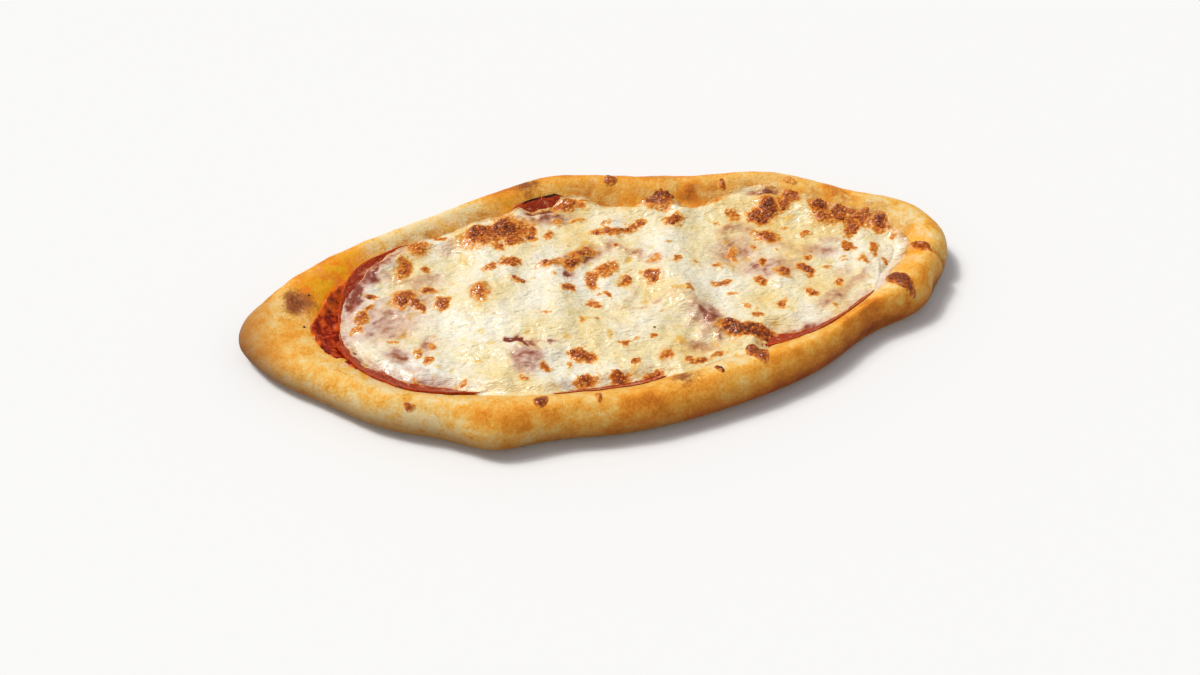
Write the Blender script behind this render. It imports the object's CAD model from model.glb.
# Peinirli: a boat of baked dough filled with tomato sauce, cured meat and melted cheese.
# Settings are in millimetres and degrees unless a note says otherwise; meshes are in metres.
# +X runs along the boat to its blunt end and +Y to the far rim.
import math

import bmesh
import bpy
import numpy as np
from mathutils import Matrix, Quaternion, Vector, noise
from mathutils.bvhtree import BVHTree
from mathutils.geometry import delaunay_2d_cdt


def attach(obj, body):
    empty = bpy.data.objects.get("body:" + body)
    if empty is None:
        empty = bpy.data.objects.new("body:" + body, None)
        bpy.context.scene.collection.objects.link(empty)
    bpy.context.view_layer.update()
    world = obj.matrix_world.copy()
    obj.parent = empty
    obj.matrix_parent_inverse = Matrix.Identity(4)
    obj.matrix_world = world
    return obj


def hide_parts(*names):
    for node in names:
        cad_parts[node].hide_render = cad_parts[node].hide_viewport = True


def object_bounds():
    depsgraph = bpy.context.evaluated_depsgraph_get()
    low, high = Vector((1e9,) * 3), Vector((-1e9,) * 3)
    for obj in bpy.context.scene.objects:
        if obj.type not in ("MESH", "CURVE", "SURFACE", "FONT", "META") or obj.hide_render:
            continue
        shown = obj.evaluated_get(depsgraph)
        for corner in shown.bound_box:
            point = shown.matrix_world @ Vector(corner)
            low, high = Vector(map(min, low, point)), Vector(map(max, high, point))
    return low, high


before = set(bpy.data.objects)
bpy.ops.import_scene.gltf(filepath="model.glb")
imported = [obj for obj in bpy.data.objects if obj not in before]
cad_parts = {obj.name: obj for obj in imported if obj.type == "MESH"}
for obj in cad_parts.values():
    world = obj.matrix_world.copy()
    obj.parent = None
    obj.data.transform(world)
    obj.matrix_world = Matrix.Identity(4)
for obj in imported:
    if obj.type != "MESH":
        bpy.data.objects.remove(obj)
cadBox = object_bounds()
mm = 0.001
print("frame loaded")


def toLinear(code):
    # sRGB hex to linear RGBA
    channels = [int(code[i:i + 2], 16) / 255 for i in (1, 3, 5)]
    linear = [c / 12.92 if c <= 0.04045 else ((c + 0.055) / 1.055) ** 2.4 for c in channels]
    return (*linear, 1.0)


def addNode(tree, kind, inputs=None, stops=None, **settings):
    # kind is the node's type, where a shader node's goes without those two words;
    # inputs take a value, a socket or a node, whose first output in use then feeds them;
    # stops are a colour ramp's places and hex colours
    node = tree.nodes.new(kind if "Node" in kind else "ShaderNode" + kind)
    for name, value in settings.items():
        setattr(node, name, value)
    for socket, value in (inputs or {}).items():
        if isinstance(value, bpy.types.Node):
            value = next(output for output in value.outputs if output.enabled)
        if isinstance(value, bpy.types.NodeSocket):
            tree.links.new(value, node.inputs[socket])
        else:
            node.inputs[socket].default_value = value
    if stops:
        marks = node.color_ramp.elements
        while len(marks) < len(stops):
            marks.new(1.0)
        for mark, (place, code) in zip(marks, stops):
            mark.position = place
            mark.color = toLinear(code)
    return node


def newMaterial(name):
    made = bpy.data.materials.new(name)
    made.use_nodes = True
    made.node_tree.nodes.clear()
    return made, made.node_tree


def smoothStep(value, start, end):
    share = np.clip((value - start) / (end - start), 0, 1)
    return share * share * (3 - 2 * share)


def within(value, start, end, soft):
    # 1 between start and end, 0 outside, with a soft passage
    return smoothStep(value, start - soft, start + soft) * smoothStep(-value, -end - soft, -end + soft)


def mix(first, second, share):
    return first + (second - first) * share


def noiseField(points, span, seed):
    # humps of the given span, between about -1 and 1
    shift = Vector((seed * 3.7, seed * 5.1, seed * 7.9))
    return np.array([noise.noise(Vector(p) + shift) for p in (points / span).tolist()])


def cellField(points, span, seed):
    # 0 in the middle of a cell, about 1 at its edge
    shift = Vector((seed * 3.7, seed * 5.1, seed * 7.9))
    return np.array([noise.voronoi(Vector(p) + shift)[0][0] for p in (points / span).tolist()]) / 0.6


def flat3(points, height=0.0):
    return np.column_stack([points[:, :2], np.full(len(points), height)])


def humps(points, rows, base=0.0):
    # noise of several spans added up; a row is span, size, seed
    return sum((size * noiseField(points, span, seed) for span, size, seed in rows), base)


def wanderField(points, span, size, *seeds):
    # how far each point strays, with a seed for each direction
    return np.column_stack([noiseField(points, span, seed) for seed in seeds]) * size


def spotField(points, spot):
    # 0 in the middle of an oval spot, 1 at its edge; a spot starts with along, across, length, width, turn
    along, across, length, width, turn = spot[:5]
    c = math.cos(math.radians(turn))
    s = math.sin(math.radians(turn))
    x = points[:, 0] - along
    y = points[:, 1] - across
    return np.hypot((x * c + y * s) / (length / 2), (y * c - x * s) / (width / 2))


def blobField(points, rows, join=np.maximum, steep=1.1):
    # soft balls; a row is along, across, height, radius, strength
    total = np.zeros(len(points))
    for along, across, height, radius, strength in rows:
        away = np.linalg.norm(points - (along, across, height), axis=1) / radius
        total = join(total, strength * np.exp(-away**2 * steep))
    return total


def lineField(points, line, fadeIn, fadeOut):
    # distance of each point to a line of places, and 1 along it, fading to 0 over these shares of its length
    line = np.array(line, float)
    leg = np.linalg.norm(np.diff(line, axis=0), axis=1)
    start = np.concatenate([[0], np.cumsum(leg)])
    best = np.full(len(points), 1e9)
    share = np.zeros(len(points))
    for k, (a, b) in enumerate(zip(line, line[1:])):
        way = b - a
        t = np.clip(((points[:, :2] - a) @ way) / (way @ way), 0, 1)
        gap = np.linalg.norm(points[:, :2] - a - t[:, None] * way, axis=1)
        closer = gap < best
        best[closer] = gap[closer]
        share[closer] = ((start[k] + t * leg[k]) / start[-1])[closer]
    return best, smoothStep(share, 0, fadeIn) * smoothStep(1 - share, 0, fadeOut)


def edgeDistance(points, loop):
    # distance to a closed loop, below zero outside it
    best = np.full(len(points), 1e9)
    inside = np.zeros(len(points), bool)
    for a, b in zip(loop, np.roll(loop, -1, axis=0)):
        way = b - a
        t = np.clip(((points - a) @ way) / max(way @ way, 1e-12), 0, 1)
        best = np.minimum(best, np.hypot(*(points - a - t[:, None] * way).T))
        crosses = (a[1] > points[:, 1]) != (b[1] > points[:, 1])
        at = a[0] + (points[:, 1] - a[1]) * way[0] / (way[1] if way[1] else 1e-12)
        inside ^= crosses & (points[:, 0] < at)
    return np.where(inside, best, -best)


def cadCopy(node, quads=True):
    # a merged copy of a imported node's mesh
    bm = bmesh.new()
    bm.from_mesh(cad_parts[node].data)
    bmesh.ops.remove_doubles(bm, verts=bm.verts, dist=0.01 * mm)
    if quads:
        bmesh.ops.join_triangles(bm, faces=bm.faces, angle_face_threshold=math.radians(40),
                                 angle_shape_threshold=math.radians(60))
    return bm


def planLoop(bm):
    # the outline of a sheet seen from above: the edge of the faces that look up, in mm
    bm.normal_update()
    up = [f for f in bm.faces if f.normal.z > 0.05]
    upSet = set(up)
    after = {}
    for face in up:
        for corner in face.loops:
            others = [f for f in corner.edge.link_faces if f is not face]
            if not any(f in upSet for f in others):
                after[corner.vert] = corner.link_loop_next.vert
    start = next(iter(after))
    loop = [start]
    while after[loop[-1]] is not start and len(loop) <= len(after):
        loop.append(after[loop[-1]])
    return np.array([v.co[:2] for v in loop]) / mm


def meshOf(name, bm):
    mesh = bpy.data.meshes.new(name)
    bm.to_mesh(mesh)
    bm.free()
    return mesh


def linked(name, data):
    made = bpy.data.objects.new(name, data)
    bpy.context.scene.collection.objects.link(made)
    return made


def finished(holder):
    # the object's mesh after its modifiers, in the place of the object and its own mesh
    name = holder.name
    coarse = holder.data
    graph = bpy.context.evaluated_depsgraph_get()
    mesh = bpy.data.meshes.new_from_object(holder.evaluated_get(graph))
    bpy.data.objects.remove(holder)
    bpy.data.meshes.remove(coarse)
    mesh.name = name
    return mesh


def smoothed(name, bm, levels):
    # the bmesh after Catmull-Clark subdivision, as a plain mesh
    holder = linked(name, meshOf(name, bm))
    finer = holder.modifiers.new("Finer", "SUBSURF")
    finer.levels = levels
    finer.render_levels = levels
    return finished(holder)


def readPoints(mesh):
    # places in mm, and normals
    points = np.empty(len(mesh.vertices) * 3)
    mesh.vertices.foreach_get("co", points)
    normals = np.empty(len(mesh.vertices) * 3)
    mesh.vertex_normals.foreach_get("vector", normals)
    return points.reshape(-1, 3) / mm, normals.reshape(-1, 3)


def writePoints(mesh, points):
    mesh.vertices.foreach_set("co", (points * mm).ravel())
    mesh.update()


def paint(mesh, **fields):
    # values that the materials read, one for each point
    for name, values in fields.items():
        layer = mesh.attributes.new(name, "FLOAT", "POINT")
        layer.data.foreach_set("value", np.clip(values, 0, 4).astype(np.float32))


def treeOf(mesh):
    points, _ = readPoints(mesh)
    return BVHTree.FromPolygons(points.tolist(), [tuple(p.vertices) for p in mesh.polygons])


def topOf(trees, places):
    # the highest surface over or under each place, in mm, and 0 where there is none
    sky = 100.0
    down = Vector((0, 0, -1))
    found = np.zeros(len(places))
    for i, (x, y) in enumerate(places[:, :2].tolist()):
        for tree in trees:
            hit = tree.ray_cast(Vector((x, y, sky)), down)[0]
            if hit is not None and hit.z > found[i]:
                found[i] = hit.z
    return found


def addPiece(name, mesh, material, slot, *nodes):
    mesh.materials.clear()
    mesh.materials.append(material)
    mesh.shade_smooth()
    piece = linked(name, mesh)
    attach(piece, "root")
    if nodes:
        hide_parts(*nodes)
    print(name, "done,", sum(len(p.vertices) - 2 for p in mesh.polygons), "triangles")


view = {
    "eye": (-134.2, -694.3, 672.0),
    "aim": (-4.0, -13.85, 0.0),
    "roll": -0.19,
    "lens": 65.94,
    "sensor": 36.0,
    "nearest": 10.0,              # what is closer to the eye isn't drawn
}


def makeCamera():
    data = bpy.data.cameras.new("camera")
    data.lens = view["lens"]
    data.sensor_fit = "HORIZONTAL"
    data.sensor_width = view["sensor"]
    data.clip_start = view["nearest"] * mm
    camera = linked("camera", data)
    eye = Vector(view["eye"]) * mm
    turn = (Vector(view["aim"]) * mm - eye).to_track_quat("-Z", "Y")
    camera.rotation_mode = "QUATERNION"
    camera.rotation_quaternion = turn @ Quaternion((0, 0, 1), math.radians(view["roll"]))
    camera.location = eye
    bpy.context.scene.camera = camera


light = {
    "keyFrom": (-1.6, 1.1, 3.2),         # direction that the light comes from
    "keySpread": 26.0,                   # its width in the sky, in degrees
    "keyStrength": 1.63,
    "glintSpread": 8.0,                  # the brighter middle of the window, which makes the glints
    "glintStrength": 0.93,
    "keyColor": "#FFFDF9",
    "skyColor": "#F6F8FC",
    "skyStrength": 0.40,
    "floorColor": "#F3F3F3",
    "floorSize": 8.0,                    # metres
}


def makeStudio():
    for name in ("key", "glint"):
        data = bpy.data.lights.new(name + "Light", "SUN")
        data.energy = light[name + "Strength"]
        data.angle = math.radians(light[name + "Spread"])
        data.color = toLinear(light["keyColor"])[:3]
        lamp = linked(name + "Light", data)
        lamp.rotation_mode = "QUATERNION"
        lamp.rotation_quaternion = Vector(light["keyFrom"]).to_track_quat("Z", "Y")
    world = bpy.data.worlds.new("softSky")
    world.use_nodes = True
    sky = world.node_tree.nodes["Background"]
    sky.inputs["Color"].default_value = toLinear(light["skyColor"])
    sky.inputs["Strength"].default_value = light["skyStrength"]
    bpy.context.scene.world = world
    bm = bmesh.new()
    bmesh.ops.create_grid(bm, x_segments=1, y_segments=1, size=light["floorSize"] / 2)
    mesh = meshOf("floor", bm)
    # matt wall paint: a pale even surface
    material, tree = newMaterial("paintedFloor")
    shader = addNode(tree, "BsdfPrincipled", {
        "Base Color": toLinear(light["floorColor"]), "Roughness": 0.9, "Specular IOR Level": 0.2})
    addNode(tree, "OutputMaterial", {"Surface": shader})
    mesh.materials.append(material)
    linked("floor", mesh)
    bpy.context.scene.view_settings.view_transform = "Standard"


makeCamera()
makeStudio()
print("camera, light and floor done")


def resample(loop, step):
    # a closed loop at even steps
    ring = np.vstack([loop, loop[:1]])
    leg = np.linalg.norm(np.diff(ring, axis=0), axis=1)
    start = np.concatenate([[0], np.cumsum(leg)])
    places = np.linspace(0, start[-1], int(start[-1] / step), endpoint=False)
    return np.column_stack([np.interp(places, start, ring[:, k]) for k in (0, 1)])


def relax(loop, rounds):
    for _ in range(rounds):
        loop = (np.roll(loop, 1, axis=0) + 2 * loop + np.roll(loop, -1, axis=0)) / 4
    return loop


def cadOutline(node, step, rounds):
    # a packed sheet's outline from above, at even steps and smoothed
    bm = cadCopy(node, quads=False)
    loop = relax(resample(planLoop(bm), step), rounds)
    bm.free()
    return loop


fillingEdge = {
    "step": 0.8,
    "rounds": 3,                  # of smoothing, for the line and for its moves
    "moveRounds": 4,
    "keel": 0.62,                 # it moves towards a middle line, which is this share of the boat's length
    "wander": ((9, 0.9, 51), (3.5, 0.55, 52), (1.6, 0.25, 53)),      # span, size, seed
    "soft": 3.5,                  # length over which a move sets in
    # the cheese's edge moves in (or out, below 0): along from, along to, side, by
    "moves": (
        (-125, -102, -1, -3.6), (-102, -86, -1, -1.6), (-84, -70, -1, 1.0), (-66, -34, -1, -1.0),
        (-125, -108, 1, -3.0), (-104, -88, 1, 0.2), (-74, -40, 1, -0.8), (-25, -10, 1, 3.2),
        (-6, 4, 1, -2.0), (9, 28, 1, 3.4), (33, 42, 1, -3.2), (46, 60, 1, 3.0), (68, 134, 1, -4.6),
        (42, 53, -1, 2.2), (55, 63, -1, -1.2), (72, 122, -1, -1.3),
    ),
}


def makeFillingEdge():
    # the line that the melted cheese reaches, from above
    loop = cadOutline("melted_cheese", fillingEdge["step"], fillingEdge["rounds"])
    inward = np.column_stack([loop[:, 0] * fillingEdge["keel"], np.zeros(len(loop))]) - loop
    inward /= np.linalg.norm(inward, axis=1)[:, None]
    move = np.zeros(len(loop))
    for start, end, side, by in fillingEdge["moves"]:
        move += by * within(loop[:, 0], start, end, fillingEdge["soft"]) * (loop[:, 1] * side > 0)
    move = humps(flat3(loop), fillingEdge["wander"], relax(move, fillingEdge["moveRounds"]))
    return loop + inward * move[:, None]


cheeseLine = makeFillingEdge()


dough = {
    "levels": 2,
    "lumps": ((26, 0.5, 11), (11, 0.42, 12), (4.5, 0.2, 13)),    # span, size, seed
    "tipTurn": 6.5,               # the pointed end leans this far towards the far side
    "tipFrom": 122,               # from here to the tip
    "tip": 160,
    "boxMargin": 0.1,             # kept inside the solid's own box
    "restHeight": 3.0,            # below this the underside stays flat
    "freeHeight": 7.0,            # and above this the relief is full
    "dents": (                    # along, across, height, radius, depth
        (151, -19, 8, 7, 2.2), (-38, -84, 6, 5, 1.2),
    ),
    # one deep crease and three pleats: line, depth, width, shares of it that fade in and out, browning
    "pleats": (
        (((120, -9), (128, -5), (136, 0), (143, -3), (150, -6), (160, -9)), 2.3, 1.9, 0.15, 0.1, 1.0),
        (((117, 44), (121, 38), (124, 31), (123, 26)), 1.3, 1.7, 0.3, 0.3, 0.7),
        (((146, 14), (141, 9), (136, 6)), 1.2, 1.6, 0.3, 0.3, 0.7),
        (((128, -34), (132, -27), (133, -20)), 0.7, 2.2, 0.3, 0.3, 0.7),
    ),
    "tone": 0.205,                # how brown the crust is, and what the upper outer side and the folds add
    "shoulderTone": 0.12,
    "creaseTone": 0.35,
    "patchTone": 0.4,
    "cloudy": ((20, 0.14, 21), (7, 0.1, 22)),                    # span, size, seed
    "wander": (6, 2.5, 23, 24, 25),                              # of the patches' edges: span, size, seeds
    # broad changes of tone: along, across, height, radius, browner (or paler, below 0)
    "tones": (
        (-78, 57, 19, 22, -0.28), (-108, 47, 18, 17, 0.12), (-32, 74, 20, 24, 0.20),
        (-8, 76, 20, 16, 0.10), (6, 74, 20, 16, 0.12), (32, 70, 20, 16, 0.20), (66, 64, 20, 20, 0.12),
        (-56, 58, 19, 18, -0.26), (92, 58, 20, 24, -0.10), (150, 14, 18, 18, -0.12),
        (-118, -38, 16, 26, -0.12), (-86, -60, 17, 18, -0.16), (-48, -72, 17, 16, 0.14),
        (44, -62, 19, 17, -0.24), (0, -78, 9, 18, 0.20), (36, -76, 8, 20, 0.31), (66, -68, 8, 20, 0.26),
        (96, -54, 8, 20, 0.22), (120, -38, 9, 16, 0.16), (84, -48, 19, 20, -0.12),
        (104, -42, 16, 16, 0.12), (120, -26, 18, 12, -0.10),
    ),
    # browned patches: along, across, height, radius, strength
    "patches": (
        (-136, -1, 15, 6, 0.35), (-30, 74, 20, 9, 0.75), (21, -60, 17, 5, 1.0), (113, -33, 18, 5, 0.60),
        (-50, -75, 16, 6, 0.75), (-36, -74, 16, 5, 0.70), (-28, -75, 12, 6, 0.35), (-5, -76, 13, 8, 0.30),
        (10, -75, 13, 9, 0.30), (-65, -68, 21, 7, 0.40), (-76, -68, 15, 4, 0.55), (69, -46, 16, 4, 0.35),
        (88, -56, 12, 7, 0.45), (98, -45, 16, 6, 0.30), (51, 54, 17, 6.5, 1.5), (63, 51, 17, 5.5, 1.3),
        (1, 60, 18, 5, 0.9), (11, 57, 17, 5.5, 1.2), (29, 56, 17, 7, 0.5), (114, 38, 21, 5, 1.0),
        (98, 43, 18, 6, 0.7), (154, 10, 19, 4, 0.55), (149, -14, 17, 6, 0.45), (141, -21, 17, 6, 0.50),
        (144, 9, 17, 3, 0.55), (108, -38, 15, 5, 0.30), (-119, 39, 19, 6, 0.45), (-130, 27, 18, 5, 0.45),
        (55, -65, 16, 9, 0.30),
    ),
    "burns": (                    # dark spots, as the patches
        (-132, 16, 17, 8, 1.15), (-128, 15, 16, 5, 0.9), (-23, 71, 21, 7, 1.05), (-17, 67, 20, 5, 0.35),
        (-16, 78, 20, 4, 0.55), (21, -57, 18, 4.5, 0.9), (24, -62, 16, 6, 1.05),
    ),
    # orange oil soaked into the inner slope and the far crest, as the patches
    "oil": (
        (-122, 22, 15, 15, 1.35), (-112, 34, 17, 15, 1.15), (-124, 6, 13, 8, 0.55),
        (-116, -20, 14, 7, 0.5), (-104, -34, 15, 6, 0.4), (-100, 42, 17, 9, 0.45), (120, 30, 18, 10, 0.3),
        (90, 45, 18, 10, 0.3), (140, 0, 18, 12, 0.6), (136, -8, 18, 7, 0.5), (-85, -50, 15, 7, 0.3),
        (60, -47, 17, 9, 0.5), (-30, 60, 18, 9, 0.4), (-62, 52, 16, 9, 0.35), (-14, 74, 22, 14, 0.4),
        (12, 74, 22, 15, 0.45), (38, 70, 22, 14, 0.4),
    ),
}


def crustMaterial():
    # baked wheat dough: matt, finely pored crust, golden where it stood up and pale where it was shaded
    material, tree = newMaterial("bakedWheatCrust")
    place = addNode(tree, "TexCoord").outputs["Object"]
    fine, broad, pores = (addNode(tree, "TexNoise", {
        "Vector": place, "Scale": 1 / (span * mm), "Detail": 5.0, "Roughness": rough, "Distortion": bent})
        for span, rough, bent in ((1.3, 0.75, 0.0), (6, 0.62, 0.4), (0.9, 0.7, 0.0)))
    toast, tan, shade, film = (addNode(tree, "Attribute", attribute_name=name).outputs["Fac"]
                               for name in ("toast", "tan", "shade", "film"))
    cloud = addNode(tree, "Math", {0: broad, 1: 0.9, 2: -0.45}, operation="MULTIPLY_ADD")
    speck = addNode(tree, "Math", {0: fine, 1: 0.8, 2: -0.4}, operation="MULTIPLY_ADD")
    both = addNode(tree, "Math", {0: cloud, 1: speck}, operation="ADD")
    toasted = addNode(tree, "Math", {0: toast, 1: both}, operation="ADD")
    color = addNode(tree, "ValToRGB", {"Fac": toasted}, stops=(
        (0.0, "#F9DFA6"), (0.2, "#FCC868"), (0.38, "#F9AB3C"), (0.55, "#EA8C22"), (0.74, "#C26814"),
        (1.0, "#82400F")))
    # what lies over it: attribute, how the noise frays its edge, where it starts and is full, colours
    layers = (
        ("stain", 1.6, 0.25, 0.9, "SMOOTHSTEP", broad,
         ((0.36, "#BE6E20"), (0.48, "#E29C40"), (0.62, "#F6C87A"))),
        ("oil", 1.2, 0.0, 1.0, "LINEAR", broad,
         ((0.36, "#FA7A04"), (0.48, "#FFA008"), (0.6, "#FFB81A"))),
        ("burn", 2.0, 0.15, 0.95, "SMOOTHSTEP", fine,
         ((0.38, "#7A3816"), (0.5, "#985024"), (0.62, "#B87034"))),
    )
    for name, fray, start, full, passage, pattern, stops in layers:
        amount = addNode(tree, "Attribute", attribute_name=name).outputs["Fac"]
        share = addNode(tree, "Math", {0: both, 1: fray, 2: amount}, operation="MULTIPLY_ADD", use_clamp=True)
        shown = addNode(tree, "MapRange", {"Value": share, "From Min": start, "From Max": full},
                        interpolation_type=passage)
        paintColor = addNode(tree, "ValToRGB", {"Fac": pattern}, stops=stops)
        color = addNode(tree, "Mix", {"Factor": shown, 6: color, 7: paintColor}, data_type="RGBA")
    dusty = addNode(tree, "Mix", {"Factor": tan, 6: color, 7: toLinear("#A5622C")}, data_type="RGBA")
    low = addNode(tree, "Mix", {"Factor": shade, 6: dusty, 7: toLinear("#A3814F")}, data_type="RGBA",
                  blend_type="MULTIPLY")
    rough = addNode(tree, "MapRange", {"Value": film, "To Min": 0.58, "To Max": 0.38})
    bump = addNode(tree, "Bump", {"Height": pores, "Strength": 0.8, "Distance": 0.7 * mm})
    wrinkle = addNode(tree, "Bump", {"Height": broad, "Strength": 0.6, "Distance": 1.2 * mm, "Normal": bump})
    shader = addNode(tree, "BsdfPrincipled", {
        "Base Color": low, "Roughness": rough, "Normal": wrinkle, "IOR": 1.45, "Specular IOR Level": 0.2,
        "Subsurface Weight": 0.05, "Subsurface Radius": (1.0, 0.6, 0.3), "Subsurface Scale": 1.6 * mm})
    addNode(tree, "OutputMaterial", {"Surface": shader})
    return material


def makeDough():
    mesh = smoothed("bakedDough", cadCopy("dough_boat"), dough["levels"])
    points, normals = readPoints(mesh)
    clear = smoothStep(points[:, 2], dough["restHeight"], dough["freeHeight"])
    top = smoothStep(normals[:, 2], -0.2, 0.3)
    shift = humps(points, dough["lumps"])
    creased = np.zeros(len(points))
    for line, depth, width, fadeIn, fadeOut, browned in dough["pleats"]:
        gap, fade = lineField(points, line, fadeIn, fadeOut)
        shift -= depth * np.exp(-(gap / width) ** 2) * fade * top
        creased = np.maximum(creased, browned * np.exp(-(gap / width / 0.6) ** 2) * fade * top)
    shift -= blobField(points, dough["dents"], np.add, 1.0)
    points = points + normals * (shift * clear)[:, None]
    x, y, z = points.T
    y += dough["tipTurn"] * smoothStep(-x, dough["tipFrom"], dough["tip"]) * smoothStep(y, -24, 18)
    low, high = np.array(cadBox) / mm
    np.clip(points, low + dough["boxMargin"] * (low < 0), high - dough["boxMargin"], out=points)
    writePoints(mesh, points)
    outward = np.column_stack([x * 0.38, y])
    outward /= np.maximum(np.linalg.norm(outward, axis=1), 1)[:, None]
    facing = (normals[:, :2] * outward).sum(axis=1)      # 1 on the outer side, -1 on the inner slope
    shoulder = smoothStep(facing, -0.35, 0.35) * smoothStep(-facing, -1.0, -0.55) * smoothStep(z, 5, 14)
    wander = wanderField(points, *dough["wander"])
    toast = (humps(points, dough["cloudy"], dough["tone"] + dough["shoulderTone"] * shoulder)
             + dough["patchTone"] * blobField(points + wander, dough["patches"])
             + dough["creaseTone"] * creased + blobField(points, dough["tones"], np.add))
    lowSide = smoothStep(-z, -17.5, -4) * smoothStep(facing, 0.1, 0.7)
    toast += lowSide * (0.34 * smoothStep(x, 0, 60) - 0.14)      # paler low on the pointed half
    toast -= 0.4 * smoothStep(-z, -6.5, -2) * lowSide            # and palest along the bottom
    inside = edgeDistance(points[:, :2], cheeseLine)
    farRight = smoothStep(x, -4, 8) * smoothStep(y, 20, 40)
    closeBy = smoothStep(inside / (1 + 1.3 * farRight), -5.5, -0.5) * smoothStep(z, 9, 12)
    closeBy *= smoothStep(x + 0.4 * y, -108, -80)
    browner = 0.5 + 0.5 * smoothStep(y, 0, 30)
    innerFilm = smoothStep(-facing, -0.1, 0.45) * smoothStep(z, 12, 14)
    paint(mesh, toast=toast, shade=lowSide,
          stain=closeBy * (0.6 + 0.9 * noiseField(points, 7, 26)) * browner,
          oil=blobField(points, dough["oil"]) * smoothStep(-facing, -0.3, 0.3),
          burn=blobField(points + wander * 0.6, dough["burns"]),
          tan=0.75 * smoothStep(-x, 132, 160) * smoothStep(facing, -0.6, 0.4),
          film=np.maximum(closeBy, innerFilm))
    addPiece("bakedDough", mesh, crustMaterial(), "baked_dough", "dough_boat")
    return treeOf(mesh)


doughTree = makeDough()


sauce = {
    "levels": 1,
    "showsPast": -84,             # only the crescent at the pointed end shows
    "finest": 0.9,                # longest edge there
    "rounds": 4,                  # of halving the edges until they are that short
    "pulp": ((5.5, 1.3, 31), (2.9, 0.8, 32), (1.5, 0.2, 33)),   # span, size, seed
    "rise": 0.3,
    "margin": 1.4,                # width of the thin oily edge
    "wideMargin": 2.4,            # and where it climbs the far slope
    "sink": 0.35,                 # how deep its edge sits in the dough
    "spill": 3.5,                 # how far it has run down towards the near side
    "spillWay": (0.75, 0.65),
    "rough": ((6, 1.2, 34), (2.2, 0.6, 35)),                    # of the edge: span, size, seed
}


def sauceMaterial():
    # cooked tomato: wet, dark red pulp with oil at its edge
    material, tree = newMaterial("cookedTomato")
    place = addNode(tree, "TexCoord").outputs["Object"]
    pulp, grain = (addNode(tree, "TexNoise", {
        "Vector": place, "Scale": 1 / (span * mm), "Detail": 3.0, "Roughness": rough})
        for span, rough in ((3.2, 0.6), (0.8, 0.5)))
    color = addNode(tree, "ValToRGB", {"Fac": pulp}, stops=(
        (0.3, "#4E0800"), (0.42, "#7E1400"), (0.53, "#AA2C04"), (0.68, "#DC5C1C")))
    thin = addNode(tree, "Attribute", attribute_name="thin").outputs["Fac"]
    uneven = addNode(tree, "Math", {0: pulp, 1: 1.1, 2: -0.55}, operation="MULTIPLY_ADD")
    thinShare = addNode(tree, "Math", {0: thin, 1: uneven}, operation="ADD", use_clamp=True)
    soaked = addNode(tree, "Mix", {"Factor": thinShare, 6: color, 7: toLinear("#F4741A")}, data_type="RGBA")
    bump = addNode(tree, "Bump", {"Height": grain, "Strength": 0.5, "Distance": 0.5 * mm})
    shader = addNode(tree, "BsdfPrincipled", {
        "Base Color": soaked, "Roughness": 0.13, "Normal": bump, "IOR": 1.4, "Specular IOR Level": 0.3,
        "Subsurface Weight": 0.04, "Subsurface Radius": (1.0, 0.25, 0.1), "Subsurface Scale": 1.5 * mm})
    addNode(tree, "OutputMaterial", {"Surface": shader})
    return material


def makeSauce():
    bm = cadCopy("tomato_sauce")
    loop = planLoop(bm)
    mesh = smoothed("tomatoSauce", bm, sauce["levels"])
    bm = bmesh.new()
    bm.from_mesh(mesh)
    for _ in range(sauce["rounds"]):
        long = [e for e in bm.edges if e.calc_length() > sauce["finest"] * mm
                and (e.verts[0].co.x + e.verts[1].co.x) / 2 < sauce["showsPast"] * mm]
        if not long:
            break
        bmesh.ops.subdivide_edges(bm, edges=long, cuts=1, use_grid_fill=True)
        bmesh.ops.triangulate(bm, faces=[f for f in bm.faces if len(f.verts) > 4])
    bm.to_mesh(mesh)
    bm.free()
    points, normals = readPoints(mesh)
    x, y, z = points.T
    shift = humps(points, sauce["pulp"])
    shows = smoothStep(-x, -sauce["showsPast"] - 2, -sauce["showsPast"] + 4)
    top = smoothStep(normals[:, 2], 0.2, 0.6) * shows
    inside = edgeDistance(points[:, :2], loop)
    for span, size, seed in sauce["rough"]:
        inside = inside - size * np.abs(noiseField(flat3(points), span, seed)) * shows
    spill = sauce["spill"] * smoothStep(-y, 1, 14) * smoothStep(-inside, -7, 0) * shows
    points[:, :2] -= np.outer(spill, sauce["spillWay"])
    ground = topOf([doughTree], points)
    thin = smoothStep(1 - inside / mix(sauce["margin"], sauce["wideMargin"], smoothStep(y, -2, 14)), 0, 1)
    z += (shift + sauce["rise"]) * top * (1 - thin)
    sunk = smoothStep(-inside, -1.6, 0.2) * shows
    z += (ground - sauce["sink"] - z) * sunk
    writePoints(mesh, points)
    oily = 0.45 * smoothStep(y, 2, 24) * (0.8 + 1.2 * noiseField(points, 4, 36))
    paint(mesh, thin=np.maximum(thin, oily))
    addPiece("tomatoSauce", mesh, sauceMaterial(), "tomato_sauce", "tomato_sauce")
    return treeOf(mesh)


sauceTree = makeSauce()


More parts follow.
